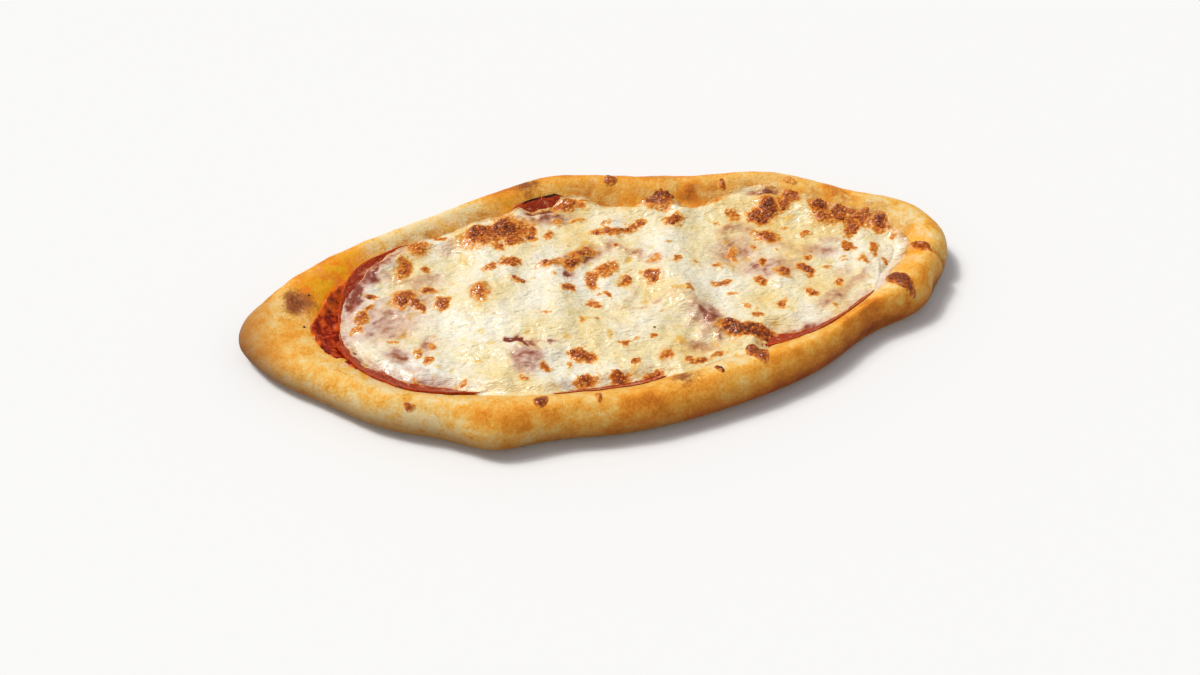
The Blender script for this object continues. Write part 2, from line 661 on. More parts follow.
meat = {
    "levels": 2,
    "slices": (                   # piece and the node that it stands for, in the order they were laid
        ("meatSliceUpperMiddle", "meat_slice_upper_middle"),
        ("meatSliceLowerMiddle", "meat_slice_lower_middle"),
        ("meatSliceLeft", "meat_slice_left"),
        ("meatSliceRight", "meat_slice_right"),
    ),
    "rindWidth": 2.4,
    "curl": 0.7,                  # rise of the dried edge
    "ripple": ((13, 0.3, 41), (5, 0.3, 42), (2.4, 0.24, 43)),     # span, size, seed
    "reach": 1.7,                 # how far a slice's edge presses out on to the dough
    "nearReach": 2.6,             # and where the cheese nearly reaches the near rim
    "thick": 1.5,                 # how far its upper side stays above what it lies on, at least
    "nearThick": 0.45,
    "clear": 0.1,
    "sink": 0.25,                 # how deep its edge's underside sits in what it lies on
    # edges that climb the dough's slope, or stay back: along from, along to, side, by
    "climbs": (
        (-30, -6, 1, 4.6), (4, 66, 1, -1.5), (-106, -80, 1, 3.0), (-122, -98, -1, 4.8),
        (-98, -72, -1, 4.4),
    ),
    "burnt": (-25, -8, 1.3),      # far edge that burnt black: along from, along to, width
    "red": 0.26,                  # how dried its middle is, and what the dried and burnt edges add
    "rindRed": 0.45,
    "burntRed": 0.6,
}


def meatMaterial():
    # cured pork slice: oily, salmon red inside and dark red where its edge dried and browned
    material, tree = newMaterial("curedPork")
    place = addNode(tree, "TexCoord").outputs["Object"]
    rind = addNode(tree, "Attribute", attribute_name="rind").outputs["Fac"]
    grain = addNode(tree, "TexNoise", {
        "Vector": place, "Scale": 1 / (2.6 * mm), "Detail": 5.0, "Roughness": 0.68, "Distortion": 0.5})
    uneven = addNode(tree, "Math", {0: grain, 1: 1.5, 2: -0.75}, operation="MULTIPLY_ADD")
    share = addNode(tree, "Math", {0: rind, 1: uneven}, operation="ADD", use_clamp=True)
    color = addNode(tree, "ValToRGB", {"Fac": share}, stops=(
        (0.0, "#DE9068"), (0.18, "#B24420"), (0.34, "#922408"), (0.5, "#C84A0C"), (0.7, "#AA3006"),
        (0.9, "#5C1402"), (1.0, "#1A0A05")))
    bump = addNode(tree, "Bump", {"Height": grain, "Strength": 0.8, "Distance": 1.0 * mm})
    shader = addNode(tree, "BsdfPrincipled", {
        "Base Color": color, "Roughness": 0.14, "Normal": bump, "IOR": 1.42, "Specular IOR Level": 0.32,
        "Subsurface Weight": 0.04, "Subsurface Radius": (1.0, 0.3, 0.2), "Subsurface Scale": 2 * mm})
    addNode(tree, "OutputMaterial", {"Surface": shader})
    return material


def makeMeat():
    material = meatMaterial()
    trees = []
    for name, node in meat["slices"]:
        bm = cadCopy(node)
        loop = planLoop(bm)
        mesh = smoothed(name, bm, meat["levels"])
        points, normals = readPoints(mesh)
        x, y, z = points.T
        inside = edgeDistance(points[:, :2], loop)
        edge = smoothStep(-inside, -meat["rindWidth"], 0)
        z += humps(points, meat["ripple"], meat["curl"] * edge)
        way = points[:, :2] - loop.mean(axis=0)
        way /= np.maximum(np.linalg.norm(way, axis=1), 1)[:, None]
        near = smoothStep(-y, 5, 25) * smoothStep(x, -60, -44)
        by = mix(meat["reach"], meat["nearReach"], near)
        for start, end, side, climb in meat["climbs"]:
            by = mix(by, climb, within(x, start, end, 4) * (y * side > 5))
        points[:, :2] += way * (by * smoothStep(-inside, -9, 0))[:, None]
        ground = topOf([doughTree, sauceTree], points)
        upper = smoothStep(normals[:, 2], -0.3, 0.3)
        thick = mix(meat["thick"], meat["nearThick"], near)
        z[:] = np.maximum(z, ground + meat["clear"] + upper * thick)
        under = smoothStep(-normals[:, 2], 0, 0.6) * smoothStep(-inside, -8, -2)
        z += (ground - meat["sink"] - z) * under
        writePoints(mesh, points)
        start, end, width = meat["burnt"]
        burnt = within(x, start, end, 2) * (y > 45) * smoothStep(-inside, -width, 0.2 - width)
        pale = 0.28 * near * smoothStep(-inside, -3.5, -1.5) * (x < 40)
        dried = 0.1 * near * smoothStep(x, 86, 94)
        paint(mesh, rind=meat["red"] + meat["rindRed"] * edge - pale + meat["burntRed"] * burnt + dried)
        addPiece(name, mesh, material, "cured_meat", node)
        trees.append(treeOf(mesh))
    return trees


meatTrees = makeMeat()


cheese = {
    "levels": 2,                  # of subdivision of the solid, for the form that it follows
    "grid": 0.55,                 # spacing of the net above
    "underGrid": 4.0,             # and below
    "thinnest": 0.8,              # before it thins out at its edge
    "least": 0.12,                # never thinner than this over what it covers
    "edgeSink": 0.34,             # how deep its very edge sits in what it lies on
    "edgeLip": 1.1,               # width over which it comes up from there
    "rimSink": 0.6,               # how deep its underside's edge sits
    "edgeTaper": 6.5,             # width over which it thins out
    "longTaper": 15.0,            # and towards the blunt end
    "waves": ((15, 0.9, 61), (6.5, 0.75, 62), (3.4, 0.3, 63)),        # span, size, seed
    "wrinkles": ((6.0, 0.5, 65), (2.8, 0.32, 66), (1.6, 0.16, 67)),    # sharp creases, as the waves
    "fibre": (5.0, 1.3, 0.24, 64),                    # length, width, size, seed
    "warp": ((5.5, 2.1, 71, 72), (2.1, 1.0, 73, 74)),                  # of the spots: span, size, seeds
    "flow": (24, 6, 83, 84),                          # of the fibres, as the warp
    "oiliness": ((19, 0.5, 77), (5, 0.16, 78)),       # span, size, seed
    "bead": 1.8,                  # width of the coarser bubbles that a blister is made of
    "beadHeight": 0.5,
    "specks": 90,                 # small browned specks
    "speckSize": (1.3, 3.4),
    # where they are thick: along, across, reach
    "crowded": ((66, 0, 34), (-92, 2, 26), (-10, -44, 22), (10, 40, 26), (0, 10, 24), (104, 20, 26)),
    "seed": 5,
    "skin": 1.2,                  # width of the baked film at the near edge
    "farSkin": 3.6,               # and on the far slope
}

# Blisters that browned in the oven: along, across, length, width, turn, browning, rise
blisters = (
    # far rim, left of the middle
    (-49, 45, 11, 9, 40, 0.92, 0.7), (-37, 46, 16, 12, 70, 0.95, 0.9), (-33, 38, 9, 7, 20, 0.8, 0.5),
    (-24, 42, 9, 5, 80, 0.85, 0.5), (-29, 47, 8, 8, 0, 0.55, 0.3), (-41, 34, 6, 5, 0, 0.6, 0.4),
    (-17, 40, 7, 4, 70, 0.6, 0.4), (-12, 48, 5, 4, 0, 0.45, 0.3), (-2, 48, 7, 3, -10, 0.5, 0.2),
    (-7, 57, 12, 7, 0, 0.7, 0.4), (2, 57, 8, 6, 20, 0.5, 0.3),
    # middle of the far side
    (4, 38, 6, 5, 0, 0.62, 0.4), (10, 37, 9, 5, -35, 0.72, 0.8), (17, 37, 11, 5, -5, 0.75, 0.9),
    (23, 40, 8, 5, 30, 0.7, 0.7), (10, 43, 7, 4, 25, 0.4, 0.3), (37, 55, 15, 13, 70, 1.0, 0.9),
    (33, 58, 7, 5, 0, 0.8, 0.4), (40, 38, 9, 7, 60, 0.85, 0.8), (50, 55, 9, 7, 50, 0.66, 0.3),
    (63, 50, 8, 6, 80, 0.5, 0.3), (68, 38, 8, 6, -80, 0.55, 0.5), (77, 36, 8, 7, 60, 0.92, 0.8),
    (84, 37, 12, 8, 80, 0.95, 0.8), (80, 32, 7, 5, 0, 0.85, 0.6), (96, 42, 15, 8, 44, 0.75, 0.5),
    (92, 38, 8, 6, 30, 0.8, 0.5),
    # far side of the blunt end
    (107, 34, 10, 8, 60, 0.9, 0.8), (107, 26, 10, 6, -25, 0.82, 0.7), (115, 28, 12, 8, 45, 0.82, 0.7),
    (118, 19, 11, 8, 60, 0.8, 0.6), (126, 24, 9, 7, -68, 0.72, 0.5), (131, 20, 9, 7, 60, 0.88, 0.5),
    (136, 18, 5, 4, -70, 0.6, 0.3), (136, 12, 5, 4, 60, 0.5, 0.3), (119, 25, 25, 11, -32, 0.6, 0.3),
    (107, 31, 15, 10, 60, 0.6, 0.3), (-40, 44, 31, 14, 10, 0.8, 0.5), (88, 40, 20, 9, -8, 0.5, 0.3),
    (79, 22, 12, 7, -35, 0.82, 0.7), (89, 26, 4, 3, 10, 0.5, 0.3), (97, 20, 4, 4, 30, 0.55, 0.3),
    (114, 9, 7, 5, -70, 0.66, 0.4), (125, 4, 10, 4, 75, 0.6, 0.4), (118, -1, 6, 5, 0, 0.45, 0.3),
    (128, -2, 4, 3, 0, 0.5, 0.2),
    # middle of the right slice
    (72, 16, 4, 3, -55, 0.6, 0.3), (62, 14, 9, 6, 70, 0.55, 0.5), (53, 7, 4, 3, 0, 0.5, 0.3),
    (74, 6, 6, 4, 74, 0.72, 0.5), (81, -3, 8, 6, 80, 0.82, 0.6), (91, -2, 8, 5, -60, 0.85, 0.6),
    (101, -3, 5, 4, 0, 0.4, 0.3), (94, 4, 4, 3, 10, 0.6, 0.2), (70, -6, 6, 5, 80, 0.72, 0.5),
    (53, -4, 9, 4, 8, 0.6, 0.4), (55, -12, 6, 3, -10, 0.42, 0.2), (90, -18, 8, 5, -55, 0.68, 0.4),
    (103, -14, 4, 4, 26, 0.66, 0.3), (75, -23, 5, 5, 55, 0.7, 0.4), (60, -20, 3, 3, 0, 0.55, 0.3),
    (63, -27, 6, 4, -37, 0.66, 0.4), (51, -33, 11, 8, -42, 1.0, 0.9), (58, -36, 13, 7, -22, 0.95, 0.7),
    (65, -38, 8, 5, -20, 0.9, 0.5),
    # fold in the middle
    (-11, 17, 9, 6, 37, 0.85, 0.5), (-5, 24, 12, 5, 6, 0.78, 0.6), (-20, 19, 12, 6, 7, 0.62, 0.5),
    (4, 12, 14, 7, 41, 0.62, 0.6), (-4, 6, 10, 7, 80, 0.72, 0.6), (11, 4, 8, 5, 29, 0.66, 0.5),
    (1, -4, 8, 3, -54, 0.52, 0.3), (-6, -8, 6, 4, -33, 0.66, 0.4), (-15, 2, 7, 6, -17, 0.76, 0.6),
    (22, 4, 8, 5, -70, 0.85, 0.5), (26, 14, 5, 4, 69, 0.4, 0.2), (36, 11, 5, 4, 25, 0.5, 0.3),
    (11, 25, 3, 3, 0, 0.6, 0.2), (36, -9, 6, 4, 69, 0.55, 0.3), (44, 8, 6, 3, -62, 0.3, 0.2),
    (-28, -12, 4, 3, 80, 0.42, 0.2), (-13, -19, 5, 4, 80, 0.42, 0.2), (-7, -18, 3, 3, 0, 0.5, 0.2),
    # left of the middle
    (-38, 22, 8, 7, -20, 0.78, 0.6), (-47, 20, 8, 4, 31, 0.55, 0.3), (-36, 11, 7, 5, -14, 0.66, 0.5),
    (-54, 5, 11, 8, 79, 0.62, 0.7), (-71, 6, 8, 6, 80, 0.82, 0.7), (-75, 16, 7, 5, -16, 0.7, 0.5),
    (-74, 28, 5, 4, -17, 0.6, 0.3), (-84, 30, 14, 7, 68, 0.62, 0.4), (-76, 41, 11, 9, -31, 0.6, 0.3),
    (-65, 46, 8, 4, -12, 0.6, 0.3), (-87, 12, 11, 8, 40, 0.86, 0.7), (-81, 7, 10, 5, -60, 0.82, 0.6),
    (-100, 16, 6, 4, -18, 0.72, 0.4), (-102, 9, 6, 4, 23, 0.6, 0.4), (-106, 3, 8, 6, -83, 0.7, 0.5),
    (-109, -3, 6, 5, -76, 0.5, 0.3), (-94, -14, 6, 3, -13, 0.4, 0.2), (-85, -23, 6, 5, 90, 0.5, 0.4),
    (-81, -29, 6, 4, 84, 0.66, 0.4), (-78, -20, 6, 4, 77, 0.5, 0.3), (-86, -42, 7, 3, -40, 0.6, 0.3),
    (-69, -44, 6, 3, 4, 0.42, 0.2),
    # near edge
    (-33, -43, 5, 4, 80, 0.75, 0.6), (-43, -49, 4, 3, -87, 0.5, 0.3), (-17, -38, 11, 6, -30, 0.84, 0.6),
    (-22, -42, 4, 4, 0, 0.4, 0.3), (-17, -53, 10, 6, -11, 0.66, 0.6), (-3, -54, 9, 6, -11, 0.78, 0.6),
    (11, -54, 9, 5, 5, 0.76, 0.5), (5, -47, 5, 4, 78, 0.76, 0.5), (3, -35, 5, 2, -11, 0.6, 0.3),
    (16, -33, 4, 3, 73, 0.55, 0.3), (8, -33, 5, 3, 36, 0.4, 0.2), (19, -45, 7, 6, 76, 0.6, 0.6),
    (27, -50, 5, 4, 27, 0.66, 0.4), (31, -52, 11, 4, 5, 0.66, 0.5), (40, -48, 7, 3, 31, 0.6, 0.3),
)

# Meat that shows through thin cheese: along, across, length, width, turn, strength
meatGlow = (
    (-98, 0, 30, 42, 87, 0.58), (-84, 10, 34, 24, 40, 0.5), (-108, 17, 24, 11, 66, 1.2),
    (-98, 30, 26, 10, 52, 1.05), (-90, 36, 18, 8, 40, 0.85), (-76, 22, 22, 9, 10, 0.5),
    (-54, 5, 13, 10, 79, 0.95), (-94, -24, 16, 14, -85, 0.62), (-80, -19, 13, 10, 77, 0.65),
    (-88, -34, 14, 8, -30, 0.4), (-40, -38, 20, 16, 68, 0.75), (-38, -28, 10, 6, -20, 1.0),
    (-13, 12, 10, 6, 34, 0.9), (-6, 22, 24, 12, 20, 1.2), (8, 27, 12, 8, 79, 0.75),
    (-36, 50, 20, 8, 10, 0.6), (-17, 56, 20, 8, 8, 1.5), (-15, 50, 24, 8, 0, 0.9),
    (26, 14, 10, 8, 69, 0.55), (23, 3, 10, 8, -60, 0.6), (64, 16, 26, 22, 14, 0.6),
    (76, 2, 34, 16, -12, 0.68), (100, 8, 22, 10, -10, 0.55), (106, -8, 14, 8, 30, 0.4),
    (30, -12, 16, 9, -30, 0.25), (22, -11, 6, 5, 76, 0.55), (42, -25, 20, 15, -40, 0.85),
    (49, -33, 18, 12, -30, 0.95), (35, -40, 16, 9, -20, 0.7), (19, -45, 11, 9, 76, 0.6),
    (85, 47, 18, 6, -11, 1.1), (81, -39, 24, 7, 10, 0.95), (100, -22, 26, 8, 30, 0.62),
    (112, -14, 18, 7, 42, 0.55), (112, 30, 16, 10, 30, 0.4), (-62, 40, 16, 8, 20, 0.4),
)

# Folds of the cheese: their line, height, width, meat that shows, browning
folds = (
    (((-27, 15), (-20, 18), (-11, 18), (-4, 24), (5, 25)), 1.0, 3.2, 0.8, 0.30),
    (((3, 28), (10, 26), (18, 20), (24, 15)), 0.6, 2.6, 0.6, 0.0),
    (((12, 4), (13, -4), (6, -11), (-2, -12)), 0.5, 1.8, 0.2, 0.1),
    (((32, -14), (40, -22), (47, -28), (52, -33)), 1.1, 3.2, 0.5, 0.04),
    (((34, -35), (41, -31), (48, -26)), 1.1, 2.0, 0.6, 0.05),
    (((29, -31), (35, -25), (39, -17)), 0.9, 1.8, 0.45, 0.0),
    (((41, -41), (45, -36), (46, -28)), 1.0, 1.7, 0.65, 0.03),
    (((24, -38), (30, -38), (37, -42)), 0.8, 1.6, 0.5, 0.03),
    (((55, 21), (62, 30), (70, 30), (80, 18), (93, 7)), 0.8, 3.4, 0.55, 0.0),
    (((-50, -28), (-46, -25.5), (-42, -25), (-39, -28), (-38, -34)), -0.7, 1.3, 1.8, 0.05),
    (((-40, -28), (-34, -29.5), (-28, -29), (-23, -30)), -0.3, 0.8, 0.7, 0.0),
    (((100, 14), (107, 14), (114, 12)), 0.6, 2.4, 0.4, 0.0),
    (((-60, 9), (-56, 11), (-51, 9), (-49, 3)), 0.5, 1.6, 0.5, 0.0),
    (((-96, 34), (-92, 26), (-84, 22), (-74, 24)), 0.5, 2.4, 0.5, 0.0),
    (((20, -14), (10, -13), (0, -12)), -0.4, 1.2, 0.35, 0.15),
    (((-104, 13), (-96, 12), (-88, 14), (-80, 20)), 0.5, 2.0, 0.45, 0.05),
)


def cheeseMaterial():
    # melted yellow-white cheese: creamy, oily, fine wrinkled skin with bubbled brown blisters
    material, tree = newMaterial("meltedCheese")
    place = addNode(tree, "TexCoord").outputs["Object"]
    browning, glow, oil, film = (addNode(tree, "Attribute", attribute_name=name).outputs["Fac"]
                                 for name in ("browning", "glow", "oil", "film"))
    fine = addNode(tree, "TexNoise", {
        "Vector": place, "Scale": 1 / (1.4 * mm), "Detail": 3.0, "Roughness": 0.6})
    uneven = addNode(tree, "Math", {0: fine, 1: 0.34, 2: -0.17}, operation="MULTIPLY_ADD")
    creamShare = addNode(tree, "Math", {0: oil, 1: uneven}, operation="ADD")
    cream = addNode(tree, "ValToRGB", {"Fac": creamShare}, stops=(
        (0.0, "#FDF7E8"), (0.32, "#FBF0D4"), (0.62, "#F6E2AC"), (1.0, "#EFC264")))
    glowShare = addNode(tree, "Math", {0: uneven, 1: glow}, operation="ADD", use_clamp=True)
    mauve = addNode(tree, "ValToRGB", {"Fac": glowShare}, stops=(
        (0.0, "#FFFFFF"), (0.28, "#F4E6E5"), (0.55, "#E0C3C1"), (0.8, "#B27468"), (1.0, "#843828")))
    over = addNode(tree, "Mix", {"Factor": 1.0, 6: cream, 7: mauve}, data_type="RGBA", blend_type="MULTIPLY")
    mottled = addNode(tree, "Math", {0: fine, 1: 2.6, 2: -0.3}, operation="MULTIPLY_ADD")
    brownShare = addNode(tree, "Math", {0: mottled, 1: browning}, operation="MULTIPLY")
    brown = addNode(tree, "ValToRGB", {"Fac": brownShare}, stops=(
        (0.1, "#F7D78E"), (0.22, "#F0A83C"), (0.36, "#DC7E14"), (0.5, "#BE5806"), (0.65, "#9A4004"),
        (0.82, "#7A2E06"), (1.0, "#521E06")))
    brownMask = addNode(tree, "MapRange", {"Value": brownShare, "From Min": 0.06, "From Max": 0.3},
                        interpolation_type="SMOOTHSTEP")
    browned = addNode(tree, "Mix", {"Factor": brownMask, 6: over, 7: brown}, data_type="RGBA")
    filmColor = addNode(tree, "ValToRGB", {"Fac": fine}, stops=(
        (0.38, "#C57A22"), (0.5, "#E4A44C"), (0.62, "#F0C67E")))
    filmShare = addNode(tree, "Math", {0: uneven, 1: 1.4, 2: film}, operation="MULTIPLY_ADD", use_clamp=True)
    color = addNode(tree, "Mix", {"Factor": filmShare, 6: browned, 7: filmColor}, data_type="RGBA")
    rough = addNode(tree, "MapRange", {"Value": browning, "To Min": 0.24, "To Max": 0.16})
    # strands run along the boat, coarse ones with fine ones on them
    drawn = addNode(tree, "Mapping", {"Vector": place, "Scale": (0.4, 1.0, 1.0)})
    coarse, thread = (addNode(tree, "TexNoise", {
        "Vector": drawn, "Scale": 1 / (span * mm), "Detail": detail, "Roughness": rugged, "Distortion": bent})
        for span, detail, rugged, bent in ((2.4, 2.0, 0.6, 1.2), (0.8, 3.0, 0.55, 0.6)))
    folded = addNode(tree, "Bump", {"Height": coarse, "Strength": 0.8, "Distance": 1.2 * mm})
    skin = addNode(tree, "Bump", {"Height": thread, "Strength": 0.7, "Distance": 0.5 * mm, "Normal": folded})
    shader = addNode(tree, "BsdfPrincipled", {
        "Base Color": color, "Roughness": rough, "Normal": skin, "IOR": 1.45, "Specular IOR Level": 0.35,
        "Coat Weight": 0.35, "Coat Roughness": 0.08, "Subsurface Weight": 0.12,
        "Subsurface Radius": (1.0, 0.7, 0.4), "Subsurface Scale": 1.4 * mm})
    addNode(tree, "OutputMaterial", {"Surface": shader})
    return material


def netInside(loop, spacing):
    # points on and inside a loop, and the triangles between them
    low = loop.min(axis=0)
    high = loop.max(axis=0)
    rows = []
    shift = 0
    for y in np.arange(low[1], high[1], spacing * math.sqrt(0.75)):
        xs = np.arange(low[0] + shift * spacing / 2, high[0], spacing)
        rows.append(np.column_stack([xs, np.full(len(xs), y)]))
        shift = 1 - shift
    grid = np.concatenate(rows)
    grid = grid[edgeDistance(grid, loop) > spacing * 0.5]
    places = [Vector(p) for p in np.concatenate([loop, grid])]
    count = len(loop)
    rim = [(k, (k + 1) % count) for k in range(count)]
    found = delaunay_2d_cdt(places, rim, [list(range(count))], 1, 1e-7)
    return np.array([tuple(p) for p in found[0]]), np.array([tuple(f) for f in found[2]])


def speckRows():
    # small browned specks, thick where the cheese is thin over the meat
    pick = np.random.default_rng(cheese["seed"])
    rows = []
    while len(rows) < cheese["specks"]:
        along = pick.uniform(-112, 138)
        across = pick.uniform(-56, 60)
        near = sum(math.exp(-((along - x)**2 + (across - y)**2) / reach**2)
                   for x, y, reach in cheese["crowded"])
        size = pick.uniform(*cheese["speckSize"])
        if pick.random() < 0.15 + 0.8 * near:
            rows.append((along, across, size, size * pick.uniform(0.5, 0.95), pick.uniform(-90, 90),
                         pick.uniform(0.16, 0.4), 0.15))
    return tuple(rows)


def browningField(warped, texture):
    # how brown each point is, and how far it rises
    browning = np.zeros(len(warped))
    rise = np.zeros(len(warped))
    for spot in blisters + speckRows():
        away = spotField(warped, spot)
        browned, up = spot[5:]
        core = smoothStep(1.12 - away, 0, 0.6)
        halo = smoothStep(1.8 - away, 0, 0.85)
        browning = np.maximum(browning, browned * (0.32 * halo + 0.52 * core * texture))
        rise = np.maximum(rise, up * np.sqrt(np.clip(1 - away**2, 0, 1)))
    return browning, rise


def foldField(warped, rise, glow, browning):
    for line, height, width, shows, browned in folds:
        gap, fade = lineField(warped, line, 0.25, 0.25)
        ridge = np.exp(-(gap / width) ** 2) * fade
        rise = rise + height * ridge
        glow = np.maximum(glow, shows * np.exp(-(gap / width / 0.9) ** 2) * fade)
        browning = np.maximum(browning, browned * ridge)
    return rise, glow, browning


def closedSheet(name, loop, over, under):
    # one closed mesh from an upper and a lower net that share their outline
    bm = bmesh.new()
    layers = []
    for (points, faces, heights), down in ((over, False), (under, True)):
        verts = [bm.verts.new((x * mm, y * mm, z * mm))
                 for (x, y), z in zip(points.tolist(), heights.tolist())]
        layers.append(verts)
        for face in faces.tolist():
            bm.faces.new([verts[i] for i in (reversed(face) if down else face)])
    high, low = layers
    for k in range(len(loop)):
        n = (k + 1) % len(loop)
        bm.faces.new((low[k], low[n], high[n], high[k]))
    return meshOf(name, bm)


def makeCheese(below):
    cadMesh = smoothed("cheeseForm", cadCopy("melted_cheese", quads=False), cheese["levels"])
    form = treeOf(cadMesh)
    bpy.data.meshes.remove(cadMesh)
    over, overFaces = netInside(cheeseLine, cheese["grid"])
    under, underFaces = netInside(cheeseLine, cheese["underGrid"])
    x, y = over.T
    inside = edgeDistance(over, cheeseLine)
    support = topOf(below, over)
    thick = np.maximum(topOf([form], over) - support, cheese["thinnest"])
    flat = flat3(over)
    warped = over + sum(wanderField(flat, *row) for row in cheese["warp"])
    beads = 1 - np.clip(cellField(flat, cheese["bead"], 75), 0, 1)
    mottle = 0.5 + 0.75 * noiseField(flat, 1.7, 81)
    browning, rise = browningField(warped, np.clip(0.3 + 0.75 * mottle + 0.15 * (1 - beads), 0.1, 1.15))
    flow = warped + wanderField(flat, *cheese["flow"])
    length, width, size, seed = cheese["fibre"]
    strands = noiseField(np.column_stack([flow[:, 0] / length, flow[:, 1] / width, flat[:, 2]]), 1, seed)
    ragged = 0.95 + 0.4 * noiseField(flat, 2.6, 82) + 0.3 * strands + 0.3 * noiseField(flat, 6, 86)
    glow = np.zeros(len(over))
    for spot in meatGlow:
        glow = np.maximum(glow, spot[5] * smoothStep(1.25 - spotField(warped, spot), 0, 0.9))
    rise, glow, browning = foldField(warped, rise, glow, browning)
    glow = glow * np.clip(ragged, 0.15, 1.6)
    rise = humps(flat, cheese["waves"], rise + size * strands)
    for span, size, seed in cheese["wrinkles"]:
        rise = rise + size * (0.35 - np.abs(noiseField(flat3(warped), span, seed)))
    rise = rise + cheese["beadHeight"] * (beads - 0.4) * smoothStep(browning, 0.25, 0.6)
    towardsEnd = smoothStep(x - 0.5 * y, 70, 110)
    taper = smoothStep(inside / mix(cheese["edgeTaper"], cheese["longTaper"], towardsEnd), 0, 1) ** 0.7
    glow = np.maximum(glow, 0.7 * towardsEnd * smoothStep(-inside, -6, -0.5) * (ragged - 0.3))
    leftEdge = smoothStep(-x, 62, 84) * smoothStep(-inside, -6.5, -0.5)
    glow = np.maximum(glow, 0.8 * leftEdge * (ragged - 0.25))
    top = np.maximum(support + (thick + rise) * taper, support + cheese["least"])
    top -= cheese["edgeSink"] * (1 - smoothStep(inside, 0, cheese["edgeLip"]))
    slope = smoothStep(y + 0.35 * x, 20, 50) * smoothStep(x, -112, -80)
    width = mix(cheese["skin"], cheese["farSkin"], slope) * (1 + 0.7 * noiseField(flat, 7, 80))
    film = smoothStep(1 - inside / width, 0, 0.9) * (1 - smoothStep(browning, 0.2, 0.5))
    edgeBrown = smoothStep(-inside, -1.8, -0.3) * (0.12 + 0.35 * noiseField(flat, 6, 76))
    browning = np.maximum(browning, edgeBrown)
    oil = humps(flat, cheese["oiliness"], 0.45)
    oil += 0.12 * smoothStep(x, 30, 90) - 0.25 * smoothStep(-x, 60, 95)
    oil += 0.45 * smoothStep(noiseField(flat3(warped), 4.2, 85), 0.3, 0.8)
    bottom = topOf(below, under) + 0.02
    bottom[:len(cheeseLine)] -= cheese["rimSink"]
    mesh = closedSheet("meltedCheese", cheeseLine, (over, overFaces, top), (under, underFaces, bottom))
    fields = {"browning": browning, "glow": glow, "film": film, "oil": oil}
    rest = np.zeros(len(under))
    paint(mesh, **{name: np.concatenate([values, rest]) for name, values in fields.items()})
    addPiece("meltedCheese", mesh, cheeseMaterial(), "melted_cheese", "melted_cheese")
    return mesh


cheeseMesh = makeCheese([doughTree, sauceTree, *meatTrees])
cheeseTree = treeOf(cheeseMesh)


bubbles = {                       # the tree's inputs, in metres
    "Radius": 0.95 * mm,          # of a bubble in the skin of a blister
    "Spacing": 1.25 * mm,         # least distance between two
    "Crowd": 0.8 / mm**2,         # how many on an area where it is brownest
    "Smallest": 0.55,             # smallest and largest, as shares of the radius
    "Largest": 1.35,
    "Flat": 0.44,
    "Sink": 0.16 * mm,            # how deep they sit
    "From": 0.36,                 # browning at which they begin and are thickest
    "Full": 0.62,
    "Paler": -0.26,               # how far a bubble's browning differs from what it sits on
    "Browner": 0.1,
    "Seed": 9,
}


def bubbleTree():
    # small bubbles on whatever has browned, scattered by Geometry Nodes
    group = bpy.data.node_groups.new("blisterBubbles", "GeometryNodeTree")
    face = group.interface
    face.new_socket("Geometry", in_out="OUTPUT", socket_type="NodeSocketGeometry")
    face.new_socket("Geometry", in_out="INPUT", socket_type="NodeSocketGeometry")
    face.new_socket("Material", in_out="INPUT", socket_type="NodeSocketMaterial")
    for name, value in bubbles.items():
        kind = "NodeSocketInt" if isinstance(value, int) else "NodeSocketFloat"
        face.new_socket(name, in_out="INPUT", socket_type=kind)
    given = addNode(group, "NodeGroupInput").outputs
    browned = addNode(group, "GeometryNodeInputNamedAttribute", {"Name": "browning"}, data_type="FLOAT")
    share = addNode(group, "MapRange", {
        "Value": browned, "From Min": given["From"], "From Max": given["Full"]})
    points = addNode(group, "GeometryNodeDistributePointsOnFaces", {
        "Mesh": given["Geometry"], "Distance Min": given["Spacing"], "Density Max": given["Crowd"],
        "Density Factor": share, "Seed": given["Seed"]}, distribute_method="POISSON")
    tone, size = (addNode(group, "FunctionNodeRandomValue", {
        2: given[least], 3: given[most], "Seed": given["Seed"]}, data_type="FLOAT")
        for least, most in (("Paler", "Browner"), ("Smallest", "Largest")))
    toned = addNode(group, "Math", {0: browned, 1: tone}, operation="ADD")
    marked = addNode(group, "GeometryNodeStoreNamedAttribute", {
        "Geometry": points, "Name": "browning", "Value": toned}, data_type="FLOAT", domain="POINT")
    low = addNode(group, "Math", {0: size, 1: given["Flat"]}, operation="MULTIPLY")
    scale = addNode(group, "CombineXYZ", {"X": size, "Y": size, "Z": low})
    ball = addNode(group, "GeometryNodeMeshIcoSphere", {"Radius": given["Radius"], "Subdivisions": 2})
    placed = addNode(group, "GeometryNodeInstanceOnPoints", {
        "Points": marked, "Instance": ball, "Rotation": points.outputs["Rotation"], "Scale": scale})
    depth = addNode(group, "Math", {0: given["Sink"], 1: -1.0}, operation="MULTIPLY")
    down = addNode(group, "CombineXYZ", {"Z": depth})
    sunk = addNode(group, "GeometryNodeTranslateInstances", {"Instances": placed, "Translation": down})
    real = addNode(group, "GeometryNodeRealizeInstances", {"Geometry": sunk})
    coated = addNode(group, "GeometryNodeSetMaterial", {"Geometry": real, "Material": given["Material"]})
    addNode(group, "NodeGroupOutput", {"Geometry": coated})
    return group


def growBubbles(name, carrier, material):
    holder = linked(name, carrier.copy())
    grow = holder.modifiers.new("Bubbles", "NODES")
    grow.node_group = bubbleTree()
    values = {**bubbles, "Material": material}
    for item in grow.node_group.interface.items_tree:
        if item.in_out == "INPUT" and item.name in values:
            grow[item.identifier] = values[item.name]
    addPiece(name, finished(holder), material, "browned_cheese")


